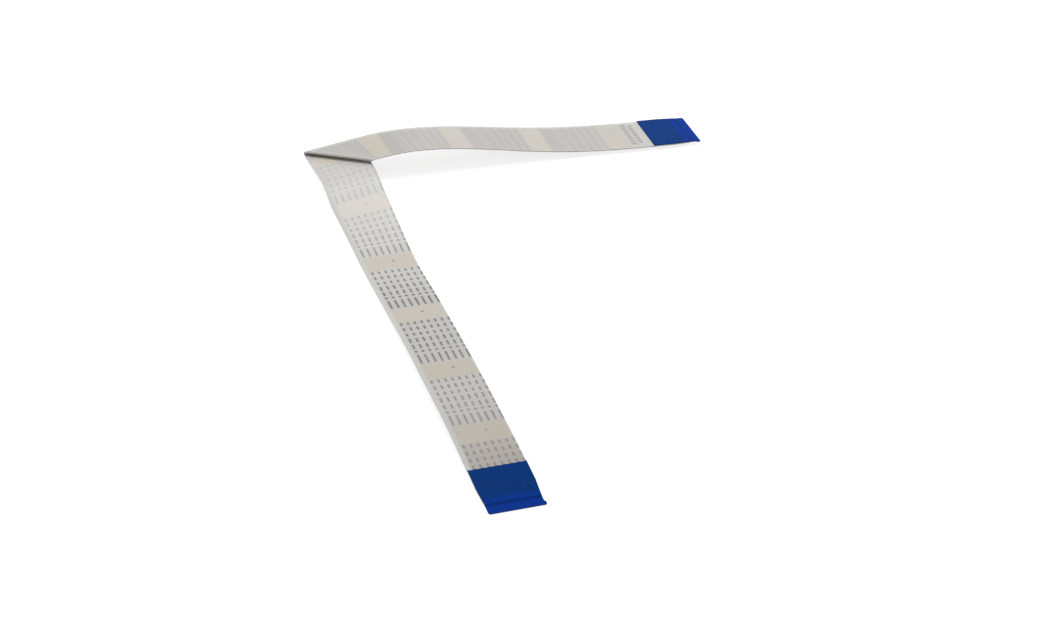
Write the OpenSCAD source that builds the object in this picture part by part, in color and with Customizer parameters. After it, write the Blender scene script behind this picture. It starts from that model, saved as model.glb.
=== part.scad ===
// Flexible flat cable with a folded corner and a stiffened plug end at each end.
// The near leg runs towards -Y, the far leg runs towards +X. The printed side faces up on both.

/* [Strip] */
// Number of flat conductors side by side
conductor_count = 20; // [4:1:24]
// Distance between the middles of neighbouring conductors
pitch = 0.5; // [0.4:0.05:1]
// Width of one conductor
conductor_w = 0.3; // [0.15:0.01:0.32]
// Thickness of one conductor
conductor_t = 0.05; // [0.03:0.005:0.1]
// Thickness of each insulation film
film_t = 0.0625; // [0.04:0.0025:0.12]
// Thickness of the glue between a conductor and each film
glue_t = 0.0125; // [0.0125:0.0025:0.03]
// Clear gap between each sealed edge and the conductor next to it
seal_gap = 0.05; // [0.03:0.01:0.1]

/* [Legs] */
// Length of the near leg on the table, from the folded corner to its tip
near_leg = 108.4; // [80:0.1:200]
// Length of the far leg on the table, from the folded corner to its tip
far_leg = 80.5; // [60:0.1:200]
// Angle between the two legs at the folded corner, seen from above
leg_angle = 90; // [75:0.5:105]
// Turn of the far leg in plan as it comes down from the corner, in degrees, inwards below 0
far_turn = -2.5; // [-8:0.5:8]
// Slope of the near plug end, tip down
near_tab_slope = 4.5; // [0:0.5:8]
// Tilt of the far plug end, inner edge up
far_tab_tilt = 4.5; // [0:0.5:8]

/* [Folded corner] */
// Clear gap between the near leg and the flap that is folded back on it
back_fold_gap = 0.5; // [0.3:0.05:1.5]
// Clear gap between that flap and the far leg on top of it
mitre_fold_gap = 0.2; // [0.1:0.05:0.6]
// Length of the flap at its short side, at the outer corner
flap_short_side = 0.2; // [0.2:0.1:2]
// Rise of the folded corner along the near leg, in degrees
corner_rise_near = 8.5; // [0:0.5:10]
// Rise of the folded corner along the far leg, in degrees
corner_rise_far = 10; // [0:0.5:12]

/* [Plug ends] */
// Length of each stiffener
tab_l = 10.2; // [6:0.1:15]
// Thickness of each stiffener
tab_t = 0.2; // [0.1:0.01:0.35]
// Length of bare conductor under the tip of each stiffener
contact_l = 2.2; // [1.8:0.1:4]
// Distance from the tip of a stiffener back to the ends of the conductors
contact_setback = 0.2; // [0.2:0.05:0.5]
// Length over which the edges draw in before the bare conductors
taper_l = 3.5; // [1:0.1:3.8]
// How far each edge has drawn in at the bare conductors, at most
taper_w_most = 0.25; // [0.1:0.01:0.25]
// Length of the sloped step in a stiffener, where the films end
step_l = 0.4; // [0.1:0.05:0.8]
// Radius of the rounded tip corner on the outer edge
corner_r = 0.45; // [0.2:0.05:0.45]
// Length of the small ear at the tip corner on the inner edge
ear_l = 0.9; // [0.6:0.1:1.6]
// Radius of the rounded corner of that ear
ear_r = 0.2; // [0.1:0.05:0.25]

/* [Hidden] */
function conductor_name(i) = str("conductor_", i < 10 ? "0" : "", i);

film_color = [0.83, 0.81, 0.76];
under_color = [0.78, 0.76, 0.71];
tin_color = [0.76, 0.75, 0.72];
tab_color = [0.08, 0.24, 0.55];

strip_w = (conductor_count + 1) * pitch;
half_core = conductor_t / 2 + glue_t;
half_strip = half_core + film_t;

// The films are sealed to each other outside the conductors. The taper stays inside that seal.
edge_seal = pitch - conductor_w / 2 - seal_gap;
seal_left = 0.05;
taper_w = min(taper_w_most, edge_seal - seal_left);

// The corner is two creases. The strip first folds straight back over itself, then turns over
// again on a mitre crease, so that its printed side faces up on both legs.
mitre_angle = 90 - leg_angle / 2;
far_heading = leg_angle - 90;
back_r = back_fold_gap / 2 + half_strip;
mitre_r = mitre_fold_gap / 2 + half_strip;
along_mitre = [cos(mitre_angle), -sin(mitre_angle)];
off_mitre = [-sin(mitre_angle), -cos(mitre_angle)];
function forward(heading) = [cos(heading), sin(heading)];
function sideways(heading) = [sin(heading), -cos(heading)];
along_far = forward(far_heading);
across_far = sideways(far_heading);

// Height of the middle of the strip over the plane of the corner, layer by layer
near_level = half_strip;
flap_level = near_level + 2 * back_r;
far_level = flap_level + 2 * mitre_r;

// The corner is flat as far as the mitre crease reaches along each leg
corner_margin = 0.4;
corner_run = flap_short_side + strip_w * tan(mitre_angle) + corner_margin;
near_gain = tan(corner_rise_near);
far_gain = tan(corner_rise_far);
corner_lift = 0.01;
function corner_height(p) = corner_lift - near_gain * p.y + far_gain * p.x;

// Where the mitre crease starts, and where the far leg's outer edge would start
mitre_start = [0, -flap_short_side];
mitre_creep = PI * mitre_r * tan(mitre_angle);
far_start = mitre_start + mitre_creep * along_mitre;

near_tab_at = near_leg - tab_l * cos(near_tab_slope);
far_tab_at = far_leg - tab_l;

// Seen from above, the far leg is straight at the corner, then an arc, then straight again
far_arc_share = 0.7;
far_arc_l = far_arc_share * (far_tab_at - corner_run);
far_tip_heading = far_heading + far_turn;
function chord(arc_l, turn) = turn == 0 ? arc_l : arc_l * sin(turn / 2) / (turn / 2 * PI / 180);
function far_plan(along, across) =
    let (
        on_arc = max(0, min(far_arc_l, along - corner_run)),
        turn = far_turn * on_arc / far_arc_l,
        straight_on = max(0, along - corner_run - far_arc_l)
    )
    far_start + min(along, corner_run) * along_far
        + chord(on_arc, turn) * forward(far_heading + turn / 2)
        + straight_on * forward(far_heading + turn)
        + across * sideways(far_heading + turn);

// How each leg lies on the table. Each row is a place along the leg, from 0 at the flat corner
// to 1 at the plug end, the clear height under its middle, and its tilt, inner edge up.
near_lie = [
    [0.09, 1.55, 11.6], [0.19, 0.9, 5.6], [0.32, 0.22, -0.1], [0.46, 0.85, 0.2],
    [0.6, 1.45, -1.1], [0.74, 1.55, -0.6], [0.87, 1.4, -1.5]
];
far_lie = [
    [0.12, 4.75, 8.9], [0.26, 4.4, 8.3], [0.4, 3.3, 7.2], [0.54, 2.05, 5.9],
    [0.68, 1.1, 5], [0.84, 0.55, 4.4]
];

// Height of the strip's middle layer at each end of each leg, and its slope and tilt there
near_tip_height = max(conductor_t / 2, half_strip - contact_l * sin(near_tab_slope));
near_first = [
    corner_run,
    corner_height([strip_w / 2, -corner_run]) + near_level,
    far_gain
];
near_last = [near_tab_at, near_tip_height + tab_l * sin(near_tab_slope), 0];
far_first = [
    corner_run,
    corner_height(far_plan(corner_run, strip_w / 2)) + far_level,
    corner_height(across_far) - corner_height([0, 0])
];
far_last = [
    far_tab_at,
    half_strip + strip_w / 2 * tan(far_tab_tilt),
    tan(far_tab_tilt)
];

function laid(first, last, rows) = concat(
    [first],
    [for (r = rows) [first[0] + r[0] * (last[0] - first[0]), r[1] + half_strip, tan(r[2])]],
    [last]
);
near_route = laid(near_first, near_last, near_lie);
far_route = laid(far_first, far_last, far_lie);
near_slopes = [near_gain, -tan(near_tab_slope)];
far_slopes = [corner_height(along_far) - corner_height([0, 0]), 0];

// Smooth curve through column c of a route, with its slopes at both ends given
function route_slope(route, c, k, ends) =
    k == 0 ? ends[0] :
    k == len(route) - 1 ? ends[1] :
    (route[k + 1][c] - route[k - 1][c]) / (route[k + 1][0] - route[k - 1][0]);
function piece_at(route, x, k = 0) =
    k >= len(route) - 2 || x < route[k + 1][0] ? k : piece_at(route, x, k + 1);
function blend(y0, y1, m0, m1, step, u) =
    y0 * (1 + 2 * u) * pow(1 - u, 2) + m0 * step * u * pow(1 - u, 2)
    + y1 * u * u * (3 - 2 * u) - m1 * step * u * u * (1 - u);
function route_at(route, c, x, ends) =
    let (k = piece_at(route, x), step = route[k + 1][0] - route[k][0])
    blend(
        route[k][c], route[k + 1][c],
        route_slope(route, c, k, ends), route_slope(route, c, k + 1, ends),
        step, (x - route[k][0]) / step
    );

// Points of the strip. across is measured from the outer edge, rise from the middle layer
// towards the printed side.
function near_point(along, across, rise) =
    let (
        plan = [across, -along],
        height = along <= corner_run ? corner_height(plan) + near_level :
            along >= near_tab_at
            ? near_last[1] - (along - near_tab_at) * tan(near_tab_slope)
            : route_at(near_route, 1, along, near_slopes)
                + (across - strip_w / 2) * route_at(near_route, 2, along, [0, 0])
    )
    [plan.x, plan.y, height + rise];
function back_fold_point(turn, across, rise) =
    let (
        r = back_r - rise,
        plan = [across, r * sin(turn)]
    )
    [plan.x, plan.y, corner_height(plan) + near_level + back_r - r * cos(turn)];
function mitre_fold_point(turn, across, rise) =
    let (
        r = mitre_r + rise,
        creep = mitre_creep * turn / 180,
        plan = mitre_start + (across / cos(mitre_angle) + creep) * along_mitre
            + r * sin(turn) * off_mitre
    )
    [plan.x, plan.y, corner_height(plan) + flap_level + mitre_r - r * cos(turn)];
function far_point(along, across, rise) =
    let (
        plan = far_plan(along, across),
        height = along <= corner_run ? corner_height(plan) + far_level :
            along >= far_tab_at
            ? far_last[1] + (across - strip_w / 2) * far_last[2]
            : route_at(far_route, 1, along, far_slopes)
                + (across - strip_w / 2) * route_at(far_route, 2, along, [0, 0])
    )
    [plan.x, plan.y, height + rise];

// Stations along the strip, from the near plug end to the far one: a part of the strip and a
// place in it. Rings are close together where the strip twists, next to the corner.
NEAR = 0;
BACK_FOLD = 1;
MITRE_FOLD = 2;
FAR = 3;
fold_steps = 6;
twist_run = 0.32;
near_steps = [14, 8];
far_steps = [6, 7];
function leg_places(first, last, steps) =
    let (turn = first + twist_run * (last - first))
    concat(
        [for (k = [0 : steps[0] - 1]) first + k / steps[0] * (turn - first)],
        [for (k = [0 : steps[1]]) turn + k / steps[1] * (last - turn)]
    );
near_places = leg_places(corner_run, near_tab_at, near_steps);
far_places = leg_places(corner_run, far_tab_at, far_steps);
leg_and_fold_stations = concat(
    [for (k = [len(near_places) - 1 : -1 : 0]) [NEAR, near_places[k]]],
    [for (k = [0 : fold_steps]) [BACK_FOLD, 180 * k / fold_steps]],
    [for (k = [0 : fold_steps]) [MITRE_FOLD, 180 * k / fold_steps]],
    [for (x = far_places) [FAR, x]]
);
function stations(back_from_tip) = concat(
    [[NEAR, near_leg - back_from_tip * cos(near_tab_slope)]],
    back_from_tip < contact_l ? [] :
        [[NEAR, near_leg - (contact_l + taper_l) * cos(near_tab_slope)]],
    leg_and_fold_stations,
    back_from_tip < contact_l ? [] : [[FAR, far_leg - contact_l - taper_l]],
    [[FAR, far_leg - back_from_tip]]
);
function strip_point(station, across, rise) =
    station[0] == NEAR ? near_point(station[1], across, rise) :
    station[0] == BACK_FOLD ? back_fold_point(station[1], across, rise) :
    station[0] == MITRE_FOLD ? mitre_fold_point(station[1], across, rise) :
    far_point(station[1], across, rise);

// How far the cut edge has drawn in at a station, near the tips only
function drawn_in(station) =
    let (
        tip = station[0] == NEAR ? (near_leg - station[1]) / cos(near_tab_slope) :
            station[0] == FAR ? far_leg - station[1] : tab_l
    )
    taper_w * max(0, min(1, (contact_l + taper_l - tip) / taper_l));
function cut_edge(across, inset) = max(inset, min(strip_w - inset, across));

// The model's origin is under the middle of the box that holds the whole cable. The box is found
// from the points that can reach furthest out: the near tip, the two folds and the far tip.
near_tip_reach = (conductor_t / 2 * cos(near_tab_slope) + tab_t) * sin(near_tab_slope);
far_corner = far_plan(far_leg - corner_r, corner_r + taper_w);
far_ear = far_plan(far_leg - ear_r, strip_w - ear_r);
outermost = concat(
    [[0, -near_leg - near_tip_reach], [0, back_r + half_strip]],
    [for (k = [0 : fold_steps]) mitre_fold_point(180 * k / fold_steps, 0, half_strip)],
    [far_corner + [corner_r, 0], far_corner + [0, corner_r], far_ear + [ear_r, 0]]
);
outermost_x = [for (p = outermost) p.x];
outermost_y = [for (p = outermost) p.y];
box_middle = [
    (min(outermost_x) + max(outermost_x)) / 2,
    (min(outermost_y) + max(outermost_y)) / 2,
    0
];

// Solid swept through rings of points, one ring per station, all with the same point count.
// cap holds the triangles that close a ring, as places in it.
module swept(rings, cap) {
    n = len(rings[0]);
    last = len(rings) - 1;
    sides = [
        for (k = [0 : last - 1], i = [0 : n - 1])
            let (a = k * n + i, b = k * n + (i + 1) % n)
            each [[a, b, a + n], [b, b + n, a + n]]
    ];
    polyhedron(
        points = [for (ring = rings) each ring],
        faces = concat(
            [for (f = cap) [f[2], f[1], f[0]]],
            sides,
            [for (f = cap) [for (i = f) last * n + i]]
        )
    );
}

// Cap of a ring whose first half runs along one face and second half back along the other
function paired_cap(n) = [
    for (i = [0 : n / 2 - 2])
        each [[i, i + 1, n - 1 - i], [i + 1, n - 2 - i, n - 1 - i]]
];

// Film columns across the strip, close enough to follow its twist
film_columns = 8;
columns = concat(
    [0, edge_seal],
    [for (k = [1 : film_columns - 1])
        edge_seal + k / film_columns * (strip_w - 2 * edge_seal)],
    [strip_w - edge_seal, strip_w]
);

// Ring of the top film: along its lower face from the outer edge, and back along its upper face
function top_ring(station) =
    let (inset = drawn_in(station))
    concat(
        [for (t = columns) strip_point(station, cut_edge(t, inset), half_core)],
        [for (k = [len(columns) - 1 : -1 : 0])
            strip_point(station, cut_edge(columns[k], inset), half_strip)]
    );

module top_film() {
    color(film_color)
        swept([for (s = stations(contact_l)) top_ring(s)], paired_cap(2 * len(columns)));
}

// The lower film carries the sealed edges, which close the strip beside the conductors
module bottom_film() {
    color(under_color)
        swept([for (s = stations(contact_l)) sealed_ring(s)], sealed_cap(len(columns)));
}

function sealed_ring(station) =
    let (
        inset = drawn_in(station),
        inner = [for (k = [len(columns) - 2 : -1 : 1]) columns[k]],
        last = strip_w - inset
    )
    concat(
        [for (t = columns) strip_point(station, cut_edge(t, inset), -half_strip)],
        [strip_point(station, last, half_core)],
        [strip_point(station, strip_w - edge_seal, half_core)],
        [for (t = inner) strip_point(station, t, -half_core)],
        [strip_point(station, edge_seal, half_core)],
        [strip_point(station, inset, half_core)]
    );

// Cap of that ring, where m columns run along the lower face
function sealed_cap(m) = concat(
    [[0, 1, 2 * m - 1], [0, 2 * m - 1, 2 * m], [0, 2 * m, 2 * m + 1]],
    [for (i = [1 : m - 3]) each [[i, i + 1, 2 * m - 1 - i], [i, 2 * m - 1 - i, 2 * m - i]]],
    [[m - 1, m, m + 1], [m - 1, m + 1, m + 2], [m - 1, m + 2, m - 2]]
);

module conductor(i) {
    outer = i * pitch - conductor_w / 2;
    inner = outer + conductor_w;
    half = conductor_t / 2;
    color(tin_color)
        swept([
            for (s = stations(contact_setback)) [
                strip_point(s, outer, -half),
                strip_point(s, inner, -half),
                strip_point(s, inner, half),
                strip_point(s, outer, half)
            ]
        ], paired_cap(4));
}

// Outline of a stiffener from above: x runs to the tip, y from the outer edge to the inner
module tab_outline() {
    bare_at = tab_l - contact_l;
    side = strip_w - taper_w;
    arc_steps = 6;
    tip_arc = [
        for (k = [0 : arc_steps])
            let (a = -90 + 90 * k / arc_steps)
            [tab_l - corner_r + corner_r * cos(a), taper_w + corner_r + corner_r * sin(a)]
    ];
    ear_arc = [
        for (k = [0 : arc_steps])
            let (a = 90 * k / arc_steps)
            [tab_l - ear_r + ear_r * cos(a), strip_w - ear_r + ear_r * sin(a)]
    ];
    polygon(concat(
        [[0, 0], [bare_at - taper_l, 0], [bare_at, taper_w]],
        tip_arc,
        ear_arc,
        [[tab_l - ear_l + taper_w, strip_w], [tab_l - ear_l, side]],
        [[bare_at, side], [bare_at - taper_l, strip_w], [0, strip_w]]
    ));
}

// Side view of a stiffener: it lies on the printed film and steps down onto the conductors
module tab_side(slope) {
    bare_at = tab_l - contact_l;
    on_film = half_strip * cos(slope);
    on_conductor = conductor_t / 2 * cos(slope);
    polygon([
        [0, on_film],
        [bare_at, on_film],
        [bare_at, on_conductor],
        [tab_l, on_conductor],
        [tab_l, on_conductor + tab_t],
        [bare_at + step_l, on_conductor + tab_t],
        [bare_at, on_film + tab_t],
        [0, on_film + tab_t]
    ]);
}

module stiffener(slope) {
    beyond = 1;
    tall = half_strip + tab_t + beyond;
    color(tab_color)
        intersection() {
            linear_extrude(height = tall) tab_outline();
            translate([0, strip_w + beyond, 0])
                rotate([90, 0, 0])
                    linear_extrude(height = strip_w + 2 * beyond) tab_side(slope);
        }
}

module stiffener_near() {
    translate([0, -near_tab_at, near_last[1]])
        rotate([0, 0, -90])
            rotate([0, near_tab_slope, 0])
                stiffener(near_tab_slope);
}

module stiffener_far() {
    middle = far_plan(far_tab_at, strip_w / 2);
    translate([middle.x, middle.y, far_last[1]])
        rotate([0, 0, far_tip_heading])
            mirror([0, 1, 0])
                rotate([far_tab_tilt, 0, 0])
                    translate([0, -strip_w / 2, 0])
                        stiffener(far_tab_tilt);
}

translate(-box_middle) {
    top_film();
    bottom_film();
    for (i = [1 : conductor_count]) {
        conductor(i);
    }
    stiffener_near();
    stiffener_far();
}
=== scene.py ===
# %% [markdown]
# # A folded ribbon cable on a table
# The object is a flat, flexible cable: twenty flat conductors sealed between two thin films, with
# a stiff blue sheet on each end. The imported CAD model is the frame. It gives the true places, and
# this script gives the finish.

import math

import bpy
import numpy as np
from mathutils import Matrix, Vector


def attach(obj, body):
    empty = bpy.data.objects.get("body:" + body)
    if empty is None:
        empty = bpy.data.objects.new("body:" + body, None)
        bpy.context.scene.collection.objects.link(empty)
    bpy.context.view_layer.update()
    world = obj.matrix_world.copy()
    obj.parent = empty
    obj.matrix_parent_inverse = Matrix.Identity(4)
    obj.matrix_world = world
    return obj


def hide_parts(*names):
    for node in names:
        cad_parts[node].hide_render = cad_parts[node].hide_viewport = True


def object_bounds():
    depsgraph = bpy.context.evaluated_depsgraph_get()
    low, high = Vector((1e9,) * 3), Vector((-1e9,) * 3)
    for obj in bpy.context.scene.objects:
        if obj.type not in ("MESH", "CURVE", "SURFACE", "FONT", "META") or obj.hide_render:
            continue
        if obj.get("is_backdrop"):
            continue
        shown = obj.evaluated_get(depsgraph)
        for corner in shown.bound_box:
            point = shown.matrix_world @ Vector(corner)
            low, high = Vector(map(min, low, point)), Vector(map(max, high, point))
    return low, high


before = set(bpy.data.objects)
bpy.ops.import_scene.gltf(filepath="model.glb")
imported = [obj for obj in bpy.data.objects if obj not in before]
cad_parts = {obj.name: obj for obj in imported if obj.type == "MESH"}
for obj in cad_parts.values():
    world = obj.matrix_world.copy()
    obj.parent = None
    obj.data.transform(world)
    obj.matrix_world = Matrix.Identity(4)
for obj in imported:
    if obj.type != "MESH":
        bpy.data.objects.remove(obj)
cad_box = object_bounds()
print("CAD box:", [list(np.round(corner, 5)) for corner in cad_box])

# %% [markdown]
# ## The camera
# A photo's camera can be placed by eye, or worked out from edges whose real places are known.
# Here it was worked out: the long edges, the tips and the fold give a direction, a roll and a
# distance. Blender wants these as one matrix, whose columns are the camera's right, its up and
# its back. The lens is long, so the cable narrows only a little towards its far end.

# %% Camera
MM = 0.001
SENSOR_W = 36
PICTURE_W = 1038
FOCAL_PIXELS = 2240.4
PIXELS_PER_MM = 5.0511
AZIMUTH = math.radians(24.378)
ELEVATION = math.radians(37.034)
ROLL = math.radians(6.824)

# Until they are handed to Blender, places are in millimetres from the outer end of the first
# fold. ASIDE is how far to the right of that point, and above it, the camera's axis passes.
# BOX_MIDDLE is the middle of the cable's box, on the table, and it becomes the origin.
ASIDE = (42.514, -32.46)
BOX_MIDDLE = np.array([40.4194, -53.98382, 0.0])

level_right = np.array([math.cos(AZIMUTH), -math.sin(AZIMUTH), 0])
ahead = np.array([
    math.cos(ELEVATION) * math.sin(AZIMUTH),
    math.cos(ELEVATION) * math.cos(AZIMUTH),
    -math.sin(ELEVATION),
])
level_up = np.cross(level_right, ahead)
right = math.cos(ROLL) * level_right + math.sin(ROLL) * level_up
up = -math.sin(ROLL) * level_right + math.cos(ROLL) * level_up
distance = FOCAL_PIXELS / PIXELS_PER_MM
stands_at = -distance * ahead + ASIDE[0] * right + ASIDE[1] * up - BOX_MIDDLE

collection = bpy.context.scene.collection
camera = bpy.data.objects.new("camera", bpy.data.cameras.new("camera"))
collection.objects.link(camera)
bpy.context.scene.camera = camera
camera.data.sensor_width = SENSOR_W
camera.data.lens = SENSOR_W * FOCAL_PIXELS / PICTURE_W
camera.data.clip_start, camera.data.clip_end = 0.01, 20
axes = Matrix(np.array([right, up, -ahead]).T.tolist())
camera.matrix_world = Matrix.Translation(Vector(stands_at * MM)) @ axes.to_4x4()
print(f"camera {distance:.0f} mm away, lens {camera.data.lens:.1f} mm")

# %% [markdown]
# ## The strip's path
# The whole cable is one flat strip, so every piece of it is drawn with the same rule: a place
# along the strip, a place across it, and a rise from its middle layer give one point in space.
# The strip has four stretches: the near leg, a fold straight back, a second fold on a slant,
# and the far leg. The alternative is to bend a flat mesh with modifiers, but a rule is exact
# and keeps every layer at its own height through both folds. The sizes are those of the CAD
# model.

# %% Sizes of the strip
CONDUCTORS = 20
PITCH = 0.5
CONDUCTOR_T = 0.05
FILM_T = 0.0625
GLUE_T = 0.0125

strip_w = (CONDUCTORS + 1) * PITCH
half_core = CONDUCTOR_T / 2 + GLUE_T
half_strip = half_core + FILM_T
print(f"strip {strip_w} mm wide and {2 * half_strip} mm thick")

# %% Sizes of the legs and the plug ends
NEAR_LEG = 108.4
FAR_LEG = 80.5
TAB_L = 10.2
NEAR_TAB_SLOPE = math.radians(4.5)

near_tab_at = NEAR_LEG - TAB_L * math.cos(NEAR_TAB_SLOPE)
far_tab_at = FAR_LEG - TAB_L
print(f"plug ends start {near_tab_at:.2f} and {far_tab_at:.2f} mm from the corner")

# %% [markdown]
# ## The folded corner
# The strip is folded straight back on itself and then turned over on a slant, so the print faces
# up again after the corner. Each fold is half a turn on a small radius. The layers could be
# stacked as flat sheets with creases between them, but film springs open a little, and the dark
# slit in the corner is the first fold's gap. The whole corner lies on a plane that is lowest at
# its outer end and rises towards both legs.

# %% The folded corner
LEG_ANGLE = 90
BACK_FOLD_GAP = 0.5
MITRE_FOLD_GAP = 0.2
FLAP_SHORT_SIDE = 0.2
CORNER_MARGIN = 0.4
CORNER_LIFT = 0.01
CORNER_RISE_NEAR = math.radians(8.5)
CORNER_RISE_FAR = math.radians(10)

mitre_angle = math.radians(90 - LEG_ANGLE / 2)
far_heading = math.radians(LEG_ANGLE - 90)
back_r = BACK_FOLD_GAP / 2 + half_strip
mitre_r = MITRE_FOLD_GAP / 2 + half_strip
along_mitre = np.array([math.cos(mitre_angle), -math.sin(mitre_angle)])
off_mitre = np.array([-math.sin(mitre_angle), -math.cos(mitre_angle)])
mitre_start = np.array([0, -FLAP_SHORT_SIDE])
mitre_creep = math.pi * mitre_r * math.tan(mitre_angle)
far_start = mitre_start + mitre_creep * along_mitre

near_level = half_strip
flap_level = near_level + 2 * back_r
far_level = flap_level + 2 * mitre_r
corner_run = FLAP_SHORT_SIDE + strip_w * math.tan(mitre_angle) + CORNER_MARGIN
near_gain, far_gain = math.tan(CORNER_RISE_NEAR), math.tan(CORNER_RISE_FAR)


def corner_height(x, y):
    """Height of the sloping plane that the folded corner lies on."""
    return CORNER_LIFT - near_gain * y + far_gain * x


print(f"layers {near_level:.3f}, {flap_level:.3f} and {far_level:.3f} mm over the corner's plane")

# %% [markdown]
# ## The far leg in plan
# The legs leave the fold square to each other, but the far leg then turns inwards by two or
# three degrees. Its edges in the photo show that, and it fits a corner creased by hand, whose
# spring pushes the leg round. The turn could be put in the crease, but then the two layers would
# no longer lie edge to edge. So the leg is straight at the corner, then an arc, then straight.

# %% The far leg seen from above
FAR_TURN = math.radians(-2.5)
FAR_ARC_SHARE = 0.7
far_arc_l = FAR_ARC_SHARE * (far_tab_at - corner_run)


def forward(heading):
    return np.cos(heading), np.sin(heading)


def sideways(heading):
    return np.sin(heading), -np.cos(heading)


def far_plan(along, across):
    """Point of the far leg seen from above. along and across may be arrays of one shape."""
    along, across = np.broadcast_arrays(np.asarray(along, float), np.asarray(across, float))
    on_arc = np.clip(along - corner_run, 0, far_arc_l)
    turn = FAR_TURN * on_arc / far_arc_l
    chord = on_arc * np.sinc(turn / 2 / np.pi)
    straight_on = np.maximum(0, along - corner_run - far_arc_l)
    straight = np.minimum(along, corner_run)
    return [
        far_start[k]
        + straight * forward(far_heading)[k]
        + chord * forward(far_heading + turn / 2)[k]
        + straight_on * forward(far_heading + turn)[k]
        + across * sideways(far_heading + turn)[k]
        for k in (0, 1)
    ]


tip_middle = [float(c) for c in far_plan(FAR_LEG, strip_w / 2)]
print("far tip's middle seen from above:", np.round(tip_middle, 2))

# %% [markdown]
# ## How the legs lie
# A strip that was folded by hand doesn't lie flat. Both legs leave the corner off the table. The
# near one comes down and rises again before its plug end, the far one comes down slowly, and both
# tilt as they go. A simulation would find some such shape, but not this one. So each leg has a
# few places with the clear height under its middle and its tilt in degrees, chosen to bring its
# edges where the photo has them. The first number is the place, as a share of the way from the
# corner to the plug end.

# %% Heights and tilts along the legs
CONTACT_L = 2.2
FAR_TAB_TILT = math.radians(4.5)
NEAR_LIE = [
    (0.09, 1.55, 11.6), (0.19, 0.9, 5.6), (0.32, 0.22, -0.1), (0.46, 0.85, 0.2),
    (0.6, 1.45, -1.1), (0.74, 1.55, -0.6), (0.87, 1.4, -1.5),
]
FAR_LIE = [
    (0.12, 4.75, 8.9), (0.26, 4.4, 8.3), (0.4, 3.3, 7.2), (0.54, 2.05, 5.9),
    (0.68, 1.1, 5), (0.84, 0.55, 4.4),
]
near_tip_height = max(CONDUCTOR_T / 2, half_strip - CONTACT_L * math.sin(NEAR_TAB_SLOPE))
near_tab_height = near_tip_height + TAB_L * math.sin(NEAR_TAB_SLOPE)
far_tab_height = half_strip + strip_w / 2 * math.tan(FAR_TAB_TILT)


def leg_route(first, last, lie):
    """Rows of a place along a leg, and the height and the slope across of its middle layer."""
    span = last[0] - first[0]
    between_ends = [
        (first[0] + share * span, clear + half_strip, math.tan(math.radians(tilt)))
        for share, clear, tilt in lie
    ]
    return np.array([first, *between_ends, last])


near_route = leg_route(
    (corner_run, corner_height(strip_w / 2, -corner_run) + near_level, far_gain),
    (near_tab_at, near_tab_height, 0),
    NEAR_LIE,
)
far_route = leg_route(
    (
        corner_run,
        corner_height(*far_plan(corner_run, strip_w / 2)) + far_level,
        corner_height(*sideways(far_heading)) - corner_height(0, 0),
    ),
    (far_tab_at, far_tab_height, math.tan(FAR_TAB_TILT)),
    FAR_LIE,
)
near_slopes = (near_gain, -math.tan(NEAR_TAB_SLOPE))
far_slopes = (corner_height(*forward(far_heading)) - corner_height(0, 0), 0)
print("near leg's heights:", np.round(near_route[:, 1], 2))
print("far leg's heights:", np.round(far_route[:, 1], 2))

# %% A smooth curve through a route's heights or its tilts
HEIGHT, TILT = 1, 2


def route_at(route, column, x, slopes):
    """Smooth curve through one column of a route, with its slopes at both ends given."""
    places, values = route[:, 0], route[:, column]
    lean = np.empty(len(places))
    lean[1:-1] = (values[2:] - values[:-2]) / (places[2:] - places[:-2])
    lean[0], lean[-1] = slopes
    k = int(np.clip(np.searchsorted(places, x, side="right") - 1, 0, len(places) - 2))
    step = places[k + 1] - places[k]
    u = (x - places[k]) / step
    return (
        values[k] * (1 + 2 * u) * (1 - u) ** 2
        + lean[k] * step * u * (1 - u) ** 2
        + values[k + 1] * u * u * (3 - 2 * u)
        - lean[k + 1] * step * u * u * (1 - u)
    )


halfway = route_at(near_route, HEIGHT, (corner_run + near_tab_at) / 2, near_slopes)
print(f"near leg's middle layer {halfway:.2f} mm up, halfway along")

# %% [markdown]
# ## From a place in the strip to a point
# Each of the four stretches has a short rule of its own. Across is measured from the strip's
# outer edge, and rise is towards the print. One long rule with many cases would do the same, but
# four short ones can be read and tested one at a time.

# %% The rules of the two legs


def near_point(along, across, rise):
    if along <= corner_run:
        height = corner_height(across, -along) + near_level
    elif along >= near_tab_at:
        height = near_tab_height - (along - near_tab_at) * math.tan(NEAR_TAB_SLOPE)
    else:
        height = route_at(near_route, HEIGHT, along, near_slopes)
        height = height + (across - strip_w / 2) * route_at(near_route, TILT, along, (0, 0))
    return across, -along, height + rise


def far_point(along, across, rise):
    x, y = far_plan(along, across)
    if along <= corner_run:
        height = corner_height(x, y) + far_level
    elif along >= far_tab_at:
        height = far_tab_height + (across - strip_w / 2) * math.tan(FAR_TAB_TILT)
    else:
        height = route_at(far_route, HEIGHT, along, far_slopes)
        height = height + (across - strip_w / 2) * route_at(far_route, TILT, along, (0, 0))
    return x, y, height + rise


# %% The rules of the two folds, and all four together


def back_fold_point(turn, across, rise):
    r = back_r - rise
    y = r * math.sin(turn)
    return across, y, corner_height(across, y) + near_level + back_r - r * math.cos(turn)


def mitre_fold_point(turn, across, rise):
    r = mitre_r + rise
    slide = across / math.cos(mitre_angle) + mitre_creep * turn / math.pi
    x, y = (
        mitre_start[k] + slide * along_mitre[k] + r * math.sin(turn) * off_mitre[k]
        for k in (0, 1)
    )
    return x, y, corner_height(x, y) + flap_level + mitre_r - r * math.cos(turn)


POINT_RULES = {
    "near": near_point,
    "back_fold": back_fold_point,
    "mitre_fold": mitre_fold_point,
    "far": far_point,
}


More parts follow.
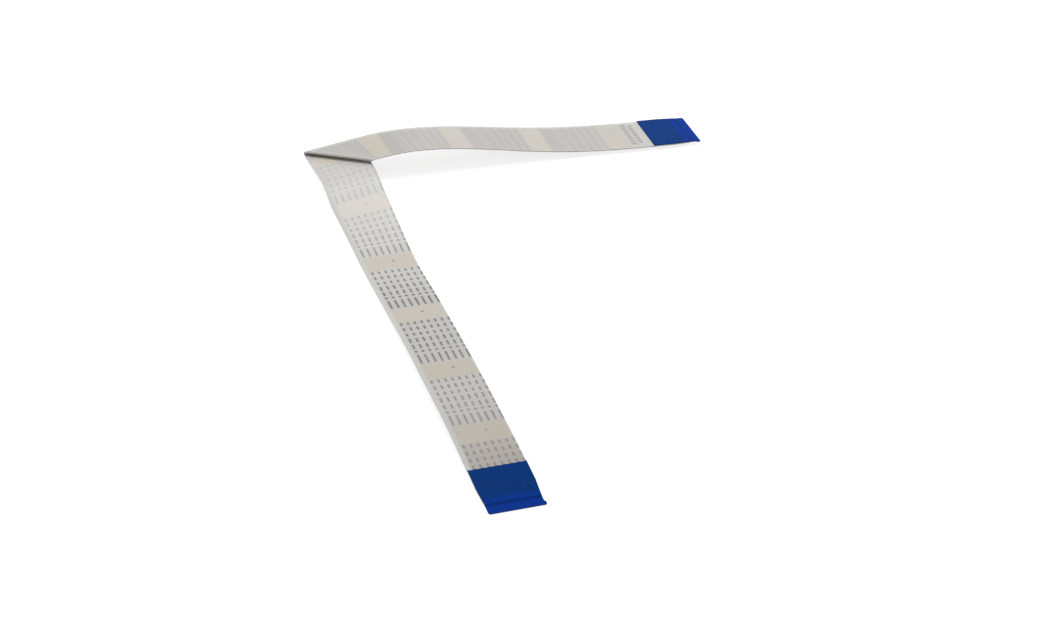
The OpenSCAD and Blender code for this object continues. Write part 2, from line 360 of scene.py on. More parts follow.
def strip_points(station, across, rise):
    """Points of one ring as Blender wants them, in metres, for arrays of across and rise."""
    across, rise = np.broadcast_arrays(np.asarray(across, float), np.asarray(rise, float))
    part, where = station
    point = POINT_RULES[part](where, across, rise)
    return (np.stack(np.broadcast_arrays(*point), axis=-1) - BOX_MIDDLE) * MM


middle = strip_w / 2
fold_end = strip_points(("mitre_fold", math.pi), [middle], 0)
leg_start = strip_points(("far", middle * math.tan(mitre_angle)), [middle], 0)
gap = np.abs(fold_end - leg_start).max() / MM
print(f"slanted fold and far leg meet within {gap:.4f} mm at the strip's middle")

# %% [markdown]
# ## Stations
# A swept skin needs rings along the strip. Long straight stretches can do with few, but the
# light slides over a satin film, and wide facets would show as bands. The rings are therefore
# under a millimetre apart, and there are extra ones exactly where something starts, such as the
# taper of the plug ends.

# %% Stations along the strip, from the near tip to the far one
RING_STEP = 0.8
FOLD_RINGS = 16
TAPER_L = 3.5
TAPER_W = 0.25


def places(first, last, also=()):
    count = max(2, round(abs(last - first) / RING_STEP) + 1)
    inside = [x for x in also if min(first, last) < x < max(first, last)]
    return sorted({*np.linspace(first, last, count), *inside}, reverse=first > last)


def stations(back_from_tip):
    """Stretch and place of each ring. The skin starts and ends this far back from the tips."""
    taper = CONTACT_L + TAPER_L
    cosine = math.cos(NEAR_TAB_SLOPE)
    near = places(
        NEAR_LEG - back_from_tip * cosine,
        corner_run,
        (NEAR_LEG - taper * cosine, near_tab_at),
    )
    turns = np.linspace(0, math.pi, FOLD_RINGS)
    far = places(corner_run, FAR_LEG - back_from_tip, (FAR_LEG - taper, far_tab_at))
    return (
        [("near", x) for x in near]
        + [("back_fold", turn) for turn in turns]
        + [("mitre_fold", turn) for turn in turns]
        + [("far", x) for x in far]
    )


def drawn_in(station):
    """How far the cut edges have drawn in at a station, near the tips only."""
    part, where = station
    tip = {
        "near": (NEAR_LEG - where) / math.cos(NEAR_TAB_SLOPE),
        "far": FAR_LEG - where,
    }.get(part, TAB_L)
    return TAPER_W * min(1, max(0, (CONTACT_L + TAPER_L - tip) / TAPER_L))


print(len(stations(CONTACT_L)), "rings")

# %% [markdown]
# ## A swept skin
# Films and conductors are all made alike: a ring of points is set down at each station and the
# rings are joined by faces. Blender could sweep a profile along a curve instead, but it keeps the
# profile square to the curve, and the second fold is on a slant. Each point also keeps its place
# on the flat strip as a UV pair, in millimetres, and the print is drawn from that pair later.

# %% A closed mesh through rings
SHARP_EDGE = math.radians(40)


def skin_mesh(name, points, flat):
    """Mesh from a grid of ring points, closed at both ends, with its flat places as UV."""
    rings, n = points.shape[:2]
    quads = [
        (k * n + i, k * n + (i + 1) % n, (k + 1) * n + (i + 1) % n, (k + 1) * n + i)
        for k in range(rings - 1)
        for i in range(n)
    ]
    ends = [tuple(range(n - 1, -1, -1)), tuple(range((rings - 1) * n, rings * n))]
    mesh = bpy.data.meshes.new(name)
    mesh.from_pydata(points.reshape(-1, 3).tolist(), [], quads + ends)
    layer = mesh.uv_layers.new(name="flat_strip")
    corner_vertices = np.empty(len(mesh.loops), np.int32)
    mesh.loops.foreach_get("vertex_index", corner_vertices)
    layer.data.foreach_set("uv", flat.reshape(-1, 2)[corner_vertices].astype(np.float32).ravel())
    mesh.polygons.foreach_set("use_smooth", [True] * len(mesh.polygons))
    mesh.set_sharp_from_angle(angle=SHARP_EDGE)
    mesh.validate()
    skin = bpy.data.objects.new(name, mesh)
    collection.objects.link(skin)
    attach(skin, "root")
    print(f"{name}: {len(mesh.polygons)} faces")
    return skin


# %% A skin swept along the whole strip
PRINT_SKIP = 1.044


def print_place(station):
    """Place along the flat strip, as the print counts it: the folds take up PRINT_SKIP."""
    part, where = station
    if part == "near":
        return where
    if part == "far":
        return -where - PRINT_SKIP
    return -PRINT_SKIP / 2 * (where / math.pi + (part == "mitre_fold"))


def swept_skin(name, station_list, ring_of):
    """Closed skin through rings. ring_of gives a ring's across and rise values."""
    points, flat = [], []
    for station in station_list:
        across, rise = ring_of(station)
        points.append(strip_points(station, across, rise))
        flat.append(np.stack([np.full(len(across), print_place(station)), across], axis=-1))
    return skin_mesh(name, np.array(points), np.array(flat))


# %% [markdown]
# ## The printed film
# The upper film is the cable's face. It is a skin a sixteenth of a millimetre thick that sags a
# little between the conductors, and that faint rib pattern is what makes a flat cable look
# ribbed. A bump map could fake the ribs, but they are real, so they are in the mesh.

# %% The printed film
RIB_DEPTH = 0.006
COLUMNS_PER_PITCH = 4
columns = np.linspace(0, strip_w, (CONDUCTORS + 1) * COLUMNS_PER_PITCH + 1)


def sag(across):
    """0 over the middle of a conductor and 1 midway between two."""
    return 0.5 + 0.5 * np.cos(2 * np.pi * (across / PITCH + 0.5))


def printed_ring(station):
    inset = drawn_in(station)
    across = np.clip(columns, inset, strip_w - inset)
    rise = half_strip - RIB_DEPTH * sag(across)
    return np.r_[across, across[::-1]], np.r_[np.full(len(across), half_core), rise[::-1]]


printed_film = swept_skin("printed_film", stations(CONTACT_L), printed_ring)
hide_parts("top_film")

# %% [markdown]
# ## The plain film
# The lower film closes the strip: outside the last conductors it rises to meet the upper film,
# and that is the sealed edge. The seal could be a bead of its own along each edge, but on the
# cable the two films are bonded there. So the lower film is drawn as one ring with two low walls.

# %% The plain film with its sealed edges
EDGE_SEAL = 0.3


def plain_ring(station):
    inset = drawn_in(station)
    last = strip_w - inset
    below = np.clip(columns, inset, last)
    inner = np.linspace(strip_w - EDGE_SEAL, EDGE_SEAL, len(columns))
    across = np.r_[below, last, inner[0], inner, inner[-1], inset]
    rise = np.r_[
        -half_strip + RIB_DEPTH * sag(below),
        half_core, half_core,
        np.full(len(inner), -half_core),
        half_core, half_core,
    ]
    return across, rise


plain_film = swept_skin("plain_film", stations(CONTACT_L), plain_ring)
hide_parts("bottom_film")

# %% [markdown]
# ## The conductors
# Twenty flat strips of tinned copper lie side by side. They show only where they are bare,
# under the two tips, and at the cut ends. Short ends alone would look the same, but a cable is
# cut from one long strip, so each conductor runs right through. They follow the same rule as the
# films, so they stay inside them through the folds.

# %% The conductors
CONDUCTOR_W = 0.3
CONTACT_SETBACK = 0.2
RECTANGLE_ACROSS = np.array([-0.5, 0.5, 0.5, -0.5])
RECTANGLE_UP = np.array([-0.5, -0.5, 0.5, 0.5])

conductors = []
for i in range(1, CONDUCTORS + 1):
    ring = RECTANGLE_ACROSS * CONDUCTOR_W + i * PITCH, RECTANGLE_UP * CONDUCTOR_T
    conductor = swept_skin(
        f"flat_conductor_{i:02d}", stations(CONTACT_SETBACK), lambda station: ring
    )
    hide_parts(f"conductor_{i:02d}")
    conductors.append(conductor)

# %% [markdown]
# ## The blue stiffeners
# Each plug end carries a stiff blue sheet, bonded on the printed side. Its outline is die-cut:
# the edges draw in towards the tip, one tip corner is rounded, and the other has a small ear
# that stops the plug in its socket. Where the films end below it, the sheet steps down onto the
# bare conductors. It could be extruded from an outline, but then it couldn't step or show the
# conductors' ribs. So it is swept like the films, row by row from its back edge to its tip.

# %% The stiffener's outline
CORNER_R = 0.45
EAR_L = 0.9
EAR_R = 0.2
bare_at = TAB_L - CONTACT_L


def tab_edges(u):
    """Outer and inner edge of the sheet at u millimetres from its back edge."""
    draw = TAPER_W * min(1, max(0, (u - bare_at + TAPER_L) / TAPER_L))
    outer, inner = draw, strip_w - draw
    past = u - (TAB_L - CORNER_R)
    if past > 0:
        outer += CORNER_R - math.sqrt(max(0, CORNER_R**2 - past**2))
    inner = max(inner, min(strip_w, inner + u - (TAB_L - EAR_L)))
    past = u - (TAB_L - EAR_R)
    if past > 0:
        inner -= EAR_R - math.sqrt(max(0, EAR_R**2 - past**2))
    return outer, inner


for u in (0, bare_at, TAB_L):
    outer, inner = tab_edges(u)
    print(f"{u:4.1f} mm from its back edge the sheet is {inner - outer:.2f} mm wide")

# %% The stiffener's profile and rows
TAB_T = 0.2
STEP_L = 0.4
TAB_ROWS = 60
CORNER_ROWS = 9
STEP_ROWS = 7


def tab_levels(u, slope):
    """Lower and upper face of the sheet, square to it, over the conductors' middle."""
    on_film = half_strip * math.cos(slope)
    on_conductor = CONDUCTOR_T / 2 * math.cos(slope)
    low = on_film if u <= bare_at else on_conductor
    down = min(1, max(0, (u - bare_at) / STEP_L))
    down = down * down * (3 - 2 * down)
    return low, on_film + TAB_T - down * (on_film - on_conductor)


def tab_rows():
    """Places of the rows, with extra ones at the step and round the tip's corners."""
    even = np.linspace(0, TAB_L, TAB_ROWS)
    tip = TAB_L - CORNER_R * (1 - np.sin(np.linspace(0, np.pi / 2, CORNER_ROWS)))
    step = bare_at + np.linspace(0, STEP_L, STEP_ROWS)
    return np.unique(np.round(np.r_[even, tip, step], 5))


print(len(tab_rows()), "rows in each blue sheet")

# %% The sheet itself
TAB_RIB_DEPTH = 0.012
SCALLOPS = 8
SCALLOP_DEPTH = 0.12
SCALLOP_FADE_L = 1


def stiffener(name, node, slope, place_in_cable):
    points, flat = [], []
    for u in tab_rows():
        across = np.linspace(*tab_edges(u), len(columns))
        low, high = tab_levels(u, slope)
        scallop = SCALLOP_DEPTH * np.abs(np.sin(SCALLOPS * np.pi * across / strip_w))
        along = u + scallop * max(0, 1 - u / SCALLOP_FADE_L)
        top = high - TAB_RIB_DEPTH * sag(across)
        ring_along = np.r_[along, along[::-1]]
        ring_across = np.r_[across, across[::-1]]
        ring_height = np.r_[np.full(len(across), low), top[::-1]]
        points.append(place_in_cable(ring_along, ring_across, ring_height))
        flat.append(np.stack([ring_along, ring_across], axis=-1))
    sheet = skin_mesh(name, np.array(points), np.array(flat))
    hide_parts(node)
    return sheet


# %% Both stiffeners in their places


def on_near_end(along, across, height):
    cosine, sine = math.cos(NEAR_TAB_SLOPE), math.sin(NEAR_TAB_SLOPE)
    y = -near_tab_at - along * cosine - height * sine
    z = near_tab_height - along * sine + height * cosine
    return (np.stack([across, y, z], axis=-1) - BOX_MIDDLE) * MM


def on_far_end(along, across, height):
    cosine, sine = math.cos(FAR_TAB_TILT), math.sin(FAR_TAB_TILT)
    off_middle = across - strip_w / 2
    x, y = far_plan(along + far_tab_at, strip_w / 2 + off_middle * cosine - height * sine)
    z = far_tab_height + off_middle * sine + height * cosine
    return (np.stack([x, y, z], axis=-1) - BOX_MIDDLE) * MM


near_tab = stiffener("stiffener_sheet_near", "stiffener_near", NEAR_TAB_SLOPE, on_near_end)
far_tab = stiffener("stiffener_sheet_far", "stiffener_far", FAR_TAB_TILT, on_far_end)

# %% [markdown]
# ## The cable as a cord
# This strip is one: a flat, stiff cable 10.5 mm wide that shows from end to end. Its line could be
# the legs' straight lengths added up, but the folds take some too, so it is the middle of the strip
# through both. It is worked out here because both plug ends are there by now.

middle_line = [strip_points(station, [strip_w / 2], 0)[0] for station in stations(CONTACT_L)]

# %% [markdown]
# ## The print
# The film carries a factory print: groups of five short dashes in eight rows, a dot and a long
# dash, and then a plain band with one small mark. It repeats every 17 mm. A picture of the print
# would blur close up, so it is worked out in the material from the flat strip's coordinates.
# Each mark is a test, such as "is this point near the middle of a row and inside a dash".
# Multiplying such tests gives the ink.

# %% Arithmetic in a material


def calc(tree, operation, *values, clamp=False):
    """One step of arithmetic in a material. Values are numbers or sockets."""
    node = tree.nodes.new("ShaderNodeMath")
    node.operation = operation
    node.use_clamp = clamp
    for socket, value in zip(node.inputs, values):
        if isinstance(value, (int, float)):
            socket.default_value = value
        else:
            tree.links.new(value, socket)
    return node.outputs[0]


def both(tree, *tests):
    """1 only where every test is 1."""
    joined = tests[0]
    for test in tests[1:]:
        joined = calc(tree, "MULTIPLY", joined, test)
    return joined


def either(tree, *tests):
    """1 where any of the tests is 1."""
    joined = tests[0]
    for test in tests[1:]:
        joined = calc(tree, "MAXIMUM", joined, test)
    return joined


# %% Tests with soft edges


def soft_test(tree, size, reach, blur):
    """1 where size is under reach, 0 beyond it, with an edge as wide as blur."""
    inside = calc(tree, "SUBTRACT", reach + blur / 2, size)
    return calc(tree, "DIVIDE", inside, blur, clamp=True)


def near_value(tree, value, middle, reach, blur):
    """1 where a value lies within reach of a middle."""
    away = calc(tree, "ABSOLUTE", calc(tree, "SUBTRACT", value, middle))
    return soft_test(tree, away, reach, blur)


def between(tree, value, first, last, blur):
    """1 where a value lies between first and last."""
    return near_value(tree, value, (first + last) / 2, (last - first) / 2, blur)


def off_whole(tree, value):
    """Distance from a value to the nearest whole number."""
    whole = calc(tree, "ROUND", value)
    return calc(tree, "ABSOLUTE", calc(tree, "SUBTRACT", value, whole))


# %% Values that change along the strip


def along_strip(tree, along, stops):
    """Smooth run through values or colours that are given at places along the strip."""
    ramp = tree.nodes.new("ShaderNodeValToRGB")
    ramp.color_ramp.interpolation = "B_SPLINE"
    first, last = stops[0][0], stops[-1][0]
    for place, _ in stops[1:-1]:
        ramp.color_ramp.elements.new((place - first) / (last - first))
    for element, (place, value) in zip(ramp.color_ramp.elements, stops):
        element.color = (*(value if isinstance(value, tuple) else (value,) * 3), 1)
    reach = calc(tree, "DIVIDE", calc(tree, "SUBTRACT", along, first), last - first)
    tree.links.new(reach, ramp.inputs[0])
    return ramp.outputs[0]


# %% The print's measures, in millimetres
ROWS = 8
ROW_PITCH = 1.283
FIRST_ROW = 1.25
PERIOD = 17.121
FIRST_MARK = 7.297
PRINT_END = 65.2
INK_W = 0.4
DOT_W = 0.55
BLUR = 0.28
ZONE_BLUR = 0.7

# Along the strip the marks are given as shares of the period. The first dash and the printed
# zone start a little before 0, so the count of a period starts earlier, by LEAD.
LEAD = 0.05
DASHES = [
    (-0.036, 0.017), (0.059, 0.118), (0.163, 0.213), (0.253, 0.33), (0.363, 0.437), (0.536, 0.685),
]
DOT_AT = 0.483
ZONE = (-0.045, 0.7)
LONE_AT = 0.805
LONE_ACROSS = 0.6 * strip_w
LONE_TOOK = 0.7

# How far the ink has run sideways out of its rows, at places along the flat strip. On the far
# leg the dashes have almost joined into faint bars across the strip.
INK_RUN = [(-70, 0.65), (-5, 0.65), (5, 0), (98, 0)]
print(f"{ROWS} rows, {ROW_PITCH} mm apart, repeated every {PERIOD} mm")

# %% Where the ink is
ROW_EDGE = 0.1


def row_of(tree, across):
    """Place across the strip counted in rows, from 0 at the first one."""
    return calc(tree, "DIVIDE", calc(tree, "SUBTRACT", across, FIRST_ROW), ROW_PITCH)


def ink_on_film(tree, along, across):
    """Where the ink is, from 0 to 1, and where the printed zones are."""
    periods = calc(tree, "DIVIDE", calc(tree, "SUBTRACT", along, FIRST_MARK), PERIOD)
    share = calc(tree, "FRACT", calc(tree, "ADD", periods, LEAD))
    share = calc(tree, "SUBTRACT", share, LEAD)
    row = row_of(tree, across)
    in_rows = between(tree, row, -0.5, ROWS - 0.5, ROW_EDGE)
    off_row = calc(tree, "MULTIPLY", off_whole(tree, row), ROW_PITCH)
    edge = BLUR / PERIOD

    dashes = either(tree, *(between(tree, share, *dash, edge) for dash in DASHES))
    in_row = soft_test(tree, off_row, INK_W / 2, BLUR)
    dashes = both(tree, dashes, either(tree, in_row, along_strip(tree, along, INK_RUN)))
    dots = both(
        tree,
        near_value(tree, share, DOT_AT, DOT_W / 2 / PERIOD, edge),
        soft_test(tree, off_row, DOT_W / 2, BLUR),
    )
    lone = both(
        tree,
        near_value(tree, share, LONE_AT, DOT_W / 2 / PERIOD, edge),
        near_value(tree, across, LONE_ACROSS, DOT_W / 2, BLUR),
        LONE_TOOK,
    )
    on_far_leg = calc(tree, "MULTIPLY", along, -1)
    before_end = soft_test(tree, on_far_leg, PRINT_END + PRINT_SKIP, ZONE_BLUR)
    marks = both(tree, either(tree, dashes, dots), in_rows)
    ink = both(tree, either(tree, marks, lone), before_end)
    return ink, between(tree, share, *ZONE, ZONE_BLUR / PERIOD)


# %% Two lines of small bars, near the far plug end, where a real cable has its type marking
CODE_LINES = [(66.6, 1.2, 8.9, 9), (68.1, 1.7, 8.4, 8)]
BAR_W = 0.5
BAR_L = 1.0


def code_bars(tree, along, across):
    """Where the bars are. Each line has its place, its first and last bar and their count."""
    lines = []
    for at, first, last, count in CODE_LINES:
        pitch = (last - first) / (count - 1)
        place = calc(tree, "DIVIDE", calc(tree, "SUBTRACT", across, first), pitch)
        off_bar = calc(tree, "MULTIPLY", off_whole(tree, place), pitch)
        lines.append(both(
            tree,
            soft_test(tree, off_bar, BAR_W / 2, BLUR),
            between(tree, place, -0.5, count - 0.5, ROW_EDGE),
            near_value(tree, along, -(at + PRINT_SKIP), BAR_L / 2, BLUR),
        ))
    return either(tree, *lines)


print(sum(line[-1] for line in CODE_LINES), "small bars")

# %% [markdown]
# ## The films' finish
# Both films are milky polyester, satin on the outside. The conductors shine through a little as
# cooler lines, and the colour drifts softly over the length. That is a noise field and the rib
# wave. The printed zones have a whiter ground and grey ink on it. Film, ground and ink each follow
# a smooth run of values along the strip. These runs are partly their own uneven tone and partly
# painted light: a painted pool of light near the fold on the near leg, and a painted sheen that
# fades the print on the far leg. One even value would be simpler, but it would carry neither.

# %% Colours and strengths at places along the flat strip
# The bare film's colour, with painted light in it: the bright stretch around 21 mm on the near leg
# is a painted pool of light near the fold. Places are in millimetres from the fold, and minus is
# the far leg.
FILM_WITH_PAINTED_LIGHT = [
    (-70, (0.52, 0.477, 0.407)), (-47, (0.535, 0.498, 0.44)), (-31, (0.527, 0.492, 0.446)),
    (-13, (0.52, 0.468, 0.387)), (6, (0.59, 0.54, 0.46)), (21, (0.765, 0.725, 0.68)),
    (38, (0.52, 0.472, 0.396)), (98, (0.52, 0.466, 0.39)),
]

# The printed zones' ground, with painted light in it: it is brighter from about 14 to 30 mm on the
# near leg, a painted pool of light near the fold.
GROUND_WITH_PAINTED_LIGHT = [
    (-75, (0.57, 0.55, 0.52)), (-66, (0.505, 0.485, 0.462)), (-60, (0.452, 0.427, 0.403)),
    (-20, (0.446, 0.426, 0.4)), (-6, (0.437, 0.425, 0.395)), (14, (0.642, 0.632, 0.602)),
    (30, (0.66, 0.655, 0.62)), (48, (0.492, 0.483, 0.45)), (64, (0.477, 0.468, 0.43)),
    (84, (0.573, 0.547, 0.517)), (94, (0.427, 0.384, 0.352)), (98, (0.408, 0.366, 0.337)),
]

# How strongly the ink shows. It shows most in the middle of the near leg and is faded to a trace on
# the far leg. There the fading is a painted sheen washing out the print, together with blur.
INK_STRENGTH_WITH_PAINTED_SHEEN = [
    (-70, 0.13), (-6, 0.13), (10, 0.2), (18, 0.21), (31, 0.44),
    (47, 1), (64, 0.92), (82, 0.56), (98, 0.55),
]
print(f"{len(FILM_WITH_PAINTED_LIGHT)} film colours, {len(GROUND_WITH_PAINTED_LIGHT)} ground colours, {len(INK_STRENGTH_WITH_PAINTED_SHEEN)} ink strengths")

# %% Helpers for a material


def new_material(name):
    material = bpy.data.materials.new(name)
    material.use_nodes = True
    tree = material.node_tree
    return material, tree, tree.nodes["Principled BSDF"]


def flat_places(tree):
    """A piece's places on the flat strip: both together, along and across."""
    uv = tree.nodes.new("ShaderNodeUVMap")
    uv.uv_map = "flat_strip"
    split = tree.nodes.new("ShaderNodeSeparateXYZ")
    tree.links.new(uv.outputs[0], split.inputs[0])
    return uv.outputs[0], split.outputs[0], split.outputs[1]


def noise(tree, scale, place=None, detail=2):
    """Soft noise from 0 to 1, over the flat strip's places or else over the piece's box."""
    node = tree.nodes.new("ShaderNodeTexNoise")
    node.inputs["Scale"].default_value = scale
    node.inputs["Detail"].default_value = detail
    if place is not None:
        tree.links.new(place, node.inputs["Vector"])
    return node.outputs[0]


def ranged(tree, share, first, last):
    """A share from 0 to 1 as a value from first to last."""
    return calc(tree, "MULTIPLY_ADD", share, last - first, first)


def mixed(tree, share, first, second):
    """Mix of two colours, each a socket or four numbers."""
    node = tree.nodes.new("ShaderNodeMix")
    node.data_type = "RGBA"
    tree.links.new(share, node.inputs[0])
    for socket, value in ((node.inputs[6], first), (node.inputs[7], second)):
        if isinstance(value, tuple):
            socket.default_value = value
        else:
            tree.links.new(value, socket)
    return node.outputs[2]


# %% What shows through the film, and its margins
LINE = (0.5, 0.5, 0.5, 1)
LINE_SHARE = 0.12

# The strip is paler along its edges, and the pale margin is wider on the outside of the bend
MARGIN_FILM = (0.56, 0.55, 0.52, 1)
MARGINS = (0.75, 0.3)
MARGIN_BLUR = 0.4


def shone_through(tree, film, across):
    """A colour with the conductors' lines and the pale margins laid over it."""
    wave = calc(tree, "COSINE", calc(tree, "MULTIPLY", across, 2 * math.pi / PITCH))
    lines = calc(tree, "MULTIPLY_ADD", wave, LINE_SHARE / 2, LINE_SHARE / 2)
    film = mixed(tree, lines, film, LINE)
    inside = between(tree, across, MARGINS[0], strip_w - MARGINS[1], MARGIN_BLUR)
    return mixed(tree, inside, MARGIN_FILM, film)


# %% The ink's colour over the film
INK = (0.06, 0.06, 0.07, 1)
SPECK_SCALE = 1.3
SPECKLE = (0.6, 1.4)
BARS_TOOK = 0.6


def inked(tree, film, ink, flat, along, across):
    """A colour with the print and the small bars on it, a little speckled."""
    speckle = ranged(tree, noise(tree, SPECK_SCALE, flat), *SPECKLE)
    # The run fades the print on the far leg, as a painted sheen washing it out.
    strength = calc(tree, "MULTIPLY", speckle, along_strip(tree, along, INK_STRENGTH_WITH_PAINTED_SHEEN), clamp=True)
    film = mixed(tree, both(tree, ink, strength), film, INK)
    return mixed(tree, both(tree, code_bars(tree, along, across), speckle, BARS_TOOK), film, INK)


# %% Both films' materials
CLOUD = (0.4, 0.36, 0.3, 1)
CLOUD_SHARE = 0.08
CLOUD_SCALE = 0.12
CLOUD_DETAIL = 5
FILM_ROUGHNESS = (0.3, 0.42)
POLYESTER_IOR = 1.5


def film_material(name, printed):
    material, tree, shader = new_material(name)
    flat, along, across = flat_places(tree)
    cloud = noise(tree, CLOUD_SCALE, flat, CLOUD_DETAIL)
    share = calc(tree, "MULTIPLY", cloud, CLOUD_SHARE)
    # The film's run along the strip carries a painted pool of light near the fold.
    film = mixed(tree, share, along_strip(tree, along, FILM_WITH_PAINTED_LIGHT), CLOUD)
    if printed:
        ink, zone = ink_on_film(tree, along, across)
        # The ground's run carries the same painted pool of light near the fold.
        film = mixed(tree, zone, film, along_strip(tree, along, GROUND_WITH_PAINTED_LIGHT))
    film = shone_through(tree, film, across)
    if printed:
        film = inked(tree, film, ink, flat, along, across)
    tree.links.new(film, shader.inputs["Base Color"])
    tree.links.new(ranged(tree, cloud, *FILM_ROUGHNESS), shader.inputs["Roughness"])
    shader.inputs["IOR"].default_value = POLYESTER_IOR
    return material


for skin, name, printed in (
    (printed_film, "printed_polyester", True), (plain_film, "plain_polyester", False)
):
    skin.data.materials.append(film_material(name, printed))
    print(f"{name}: {len(skin.data.materials[0].node_tree.nodes)} nodes")

# %% [markdown]
# ## Tin plating
# The bare conductors are tinned, a bright and slightly brushed metal. A plain mirror would be too
# clean for plating this thin, so a fine grain changes how rough it is.

# %% Tin material
TIN = (0.72, 0.71, 0.68, 1)
TIN_GRAIN_SCALE = 900
TIN_ROUGHNESS = (0.18, 0.38)

tin, tree, shader = new_material("tin_plating")
rough = ranged(tree, noise(tree, TIN_GRAIN_SCALE), *TIN_ROUGHNESS)
tree.links.new(rough, shader.inputs["Roughness"])
shader.inputs["Base Color"].default_value = TIN
shader.inputs["Metallic"].default_value = 1
for conductor in conductors:
    conductor.data.materials.append(tin)
print(len(conductors), "conductors plated")

# %% [markdown]
# ## The blue sheets' finish
# The blue sheet is dyed right through and almost without gloss, so it is one deep colour. It is
# brighter around the step and over the contact end, where it is bonded straight to metal. A line of
# painted shade lies on the step's face, where it steps down. The print's rows show through it as
# faint stripes. The stripes could be relief only, but they are ink below the sheet, so they are
# colour.

# %% Blue material
BLUE = (0.001, 0.042, 0.225, 1)
TIP_BLUE = (0.001, 0.041, 0.33, 1)
# Dark blue, for the print's rows below the sheet and for the painted shade on the step.
ROWS_AND_STEP_SHADE_BLUE = (0.001, 0.02, 0.11, 1)
BLUE_GRAIN_SCALE = 0.8
BLUE_ROUGHNESS = (0.4, 0.55)
BLUE_SPECULAR = 0.025

# How far each thing reaches, how soft its edge is and how strongly it shows. The bright stripe and
# the painted shade line on the step are in millimetres before the step's end, and so is the edge
# over the metal.
# The rows below the sheet are in shares of their pitch.
STRIPE_REACH, STRIPE_EDGE, STRIPE_SHOWS = 1.5, 0.5, 0.85
STEP_SHADE_AT, STEP_SHADE_REACH, STEP_SHADE_EDGE, STEP_SHADE_SHOWS = 0.05, 0.22, 0.3, 0.6
METAL_EDGE = 0.2
BELOW_REACH, BELOW_EDGE, BELOW_SHOWS = 0.2, 0.4, 0.22


def blue_material():
    material, tree, shader = new_material("blue_polyester")
    flat, along, across = flat_places(tree)
    before_step = calc(tree, "SUBTRACT", bare_at + STEP_L, along)
    over_metal = soft_test(tree, before_step, 0, METAL_EDGE)
    by_step = soft_test(tree, before_step, STRIPE_REACH, STRIPE_EDGE)
    by_step = calc(tree, "MULTIPLY", by_step, STRIPE_SHOWS)
    blue = mixed(tree, by_step, BLUE, TIP_BLUE)
    blue = mixed(tree, over_metal, blue, TIP_BLUE)
    on_row = soft_test(tree, off_whole(tree, row_of(tree, across)), BELOW_REACH, BELOW_EDGE)
    below = both(tree, on_row, calc(tree, "SUBTRACT", 1, by_step), BELOW_SHOWS)
    blue = mixed(tree, below, blue, ROWS_AND_STEP_SHADE_BLUE)
    # Painted shade: a darker line on the step's face, where the sheet steps down.
    painted_step_shade = near_value(tree, before_step, STEP_SHADE_AT, STEP_SHADE_REACH, STEP_SHADE_EDGE)
    blue = mixed(tree, calc(tree, "MULTIPLY", painted_step_shade, STEP_SHADE_SHOWS), blue, ROWS_AND_STEP_SHADE_BLUE)
    tree.links.new(blue, shader.inputs["Base Color"])
    rough = ranged(tree, noise(tree, BLUE_GRAIN_SCALE, flat), *BLUE_ROUGHNESS)
    tree.links.new(rough, shader.inputs["Roughness"])
    shader.inputs["Specular IOR Level"].default_value = BLUE_SPECULAR
    return material


blue = blue_material()
for sheet in (near_tab, far_tab):
    sheet.data.materials.append(blue)
print(f"{blue.name}: {len(blue.node_tree.nodes)} nodes on both sheets")

# %% [markdown]
# ## The floor
# The photo's ground is plain white. A white floor could be made by more light, but then the
# cable would wash out as well. Instead the floor adds a little glow of its own, only for rays
# from the camera or by way of gloss or glass, and keeps the soft shadow under the cable.

# %% Floor
FLOOR_HALF = 1.5
FLOOR_GREY = (0.45, 0.45, 0.45, 1)
FLOOR_ROUGHNESS = 0.9
FLOOR_GLOW = 0.77
WHITE = (1, 1, 1, 1)

floor_mesh = bpy.data.meshes.new("floor")
corners = [(-1, -1, 0), (1, -1, 0), (1, 1, 0), (-1, 1, 0)]
floor_mesh.from_pydata([tuple(FLOOR_HALF * c for c in p) for p in corners], [], [(0, 1, 2, 3)])
floor = bpy.data.objects.new("floor", floor_mesh)
collection.objects.link(floor)
floor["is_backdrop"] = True


def seen_rays(tree):
    """1 for rays from the camera, and for glossy and transmission rays."""
    path = tree.nodes.new("ShaderNodeLightPath")
    rays = [path.outputs[n] for n in ("Is Camera Ray", "Is Glossy Ray", "Is Transmission Ray")]
    return either(tree, *rays)


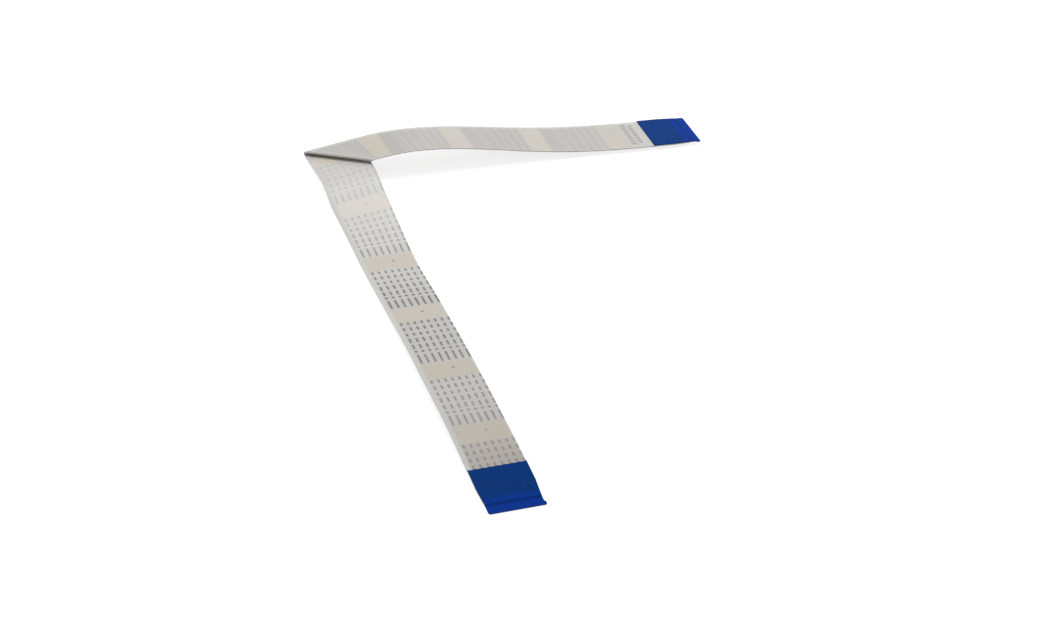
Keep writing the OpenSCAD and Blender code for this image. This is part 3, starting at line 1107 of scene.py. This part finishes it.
floor_material, tree, shader = new_material("pale_floor")
shader.inputs["Base Color"].default_value = FLOOR_GREY
shader.inputs["Roughness"].default_value = FLOOR_ROUGHNESS
shader.inputs["Emission Color"].default_value = WHITE
glow = calc(tree, "MULTIPLY", seen_rays(tree), FLOOR_GLOW)
tree.links.new(glow, shader.inputs["Emission Strength"])
floor_mesh.materials.append(floor_material)
print(f"floor {2 * FLOOR_HALF} m wide")

# %% [markdown]
# ## The light
# The world is white for the rays that see the floor's glow, so that a low view has no grey sky
# over the floor. For all other rays it is dimmer and lights the cable evenly from all sides, as a
# white tent does. A tent alone would be simpler, but the photo's light falls off towards the near
# tip. So there is a soft box low over the fold as well, and there are two weak ones far back that
# show only as a sheen, mostly on the far leg and its plug.

# %% World
WORLD_LIGHT = 0.42

world = bpy.data.worlds.new("studio")
bpy.context.scene.world = world
world.use_nodes = True
tree = world.node_tree
background = tree.nodes["Background"]
background.inputs["Color"].default_value = WHITE
level = ranged(tree, seen_rays(tree), WORLD_LIGHT, 1)
tree.links.new(level, background.inputs["Strength"])
print("world's light on the cable:", WORLD_LIGHT)

# %% Soft boxes: place, size in metres and level
SOFT_BOXES = {
    "top_box": ((-0.03, 0.08, 0.2), 0.14, 0.47),
    "back_left_box": ((-0.2, 0.4, 0.3), 0.25, 0.055),
    "back_right_box": ((0.25, 0.52, 0.29), 0.25, 0.03),
}


def soft_box(name, at, size, level):
    """Square lamp that faces the cable. A level gives the same light there from any distance."""
    lamp = bpy.data.objects.new(name, bpy.data.lights.new(name, "AREA"))
    lamp.data.size = size
    at = Vector(at)
    facing = at.normalized().z
    lamp.data.energy = level * math.pi**2 * at.length**2 / facing
    lamp.location = at
    lamp.rotation_euler = (-at).to_track_quat("-Z", "Y").to_euler()
    collection.objects.link(lamp)
    print(f"{name}: {lamp.data.energy:.3f} W")


for name, (at, size, level) in SOFT_BOXES.items():
    soft_box(name, at, size, level)
bpy.context.scene.view_settings.view_transform = "Standard"

# %% [markdown]
# ## Sizes
# The dressed cable has to fill the same box as the CAD model. Both boxes are printed, where they
# can be compared.

# %% Print the sizes
seen_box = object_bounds()
for low, high, seen_low, seen_high in zip(*cad_box, *seen_box):
    print(f"CAD {low:.5f} to {high:.5f}, visual {seen_low:.5f} to {seen_high:.5f}")
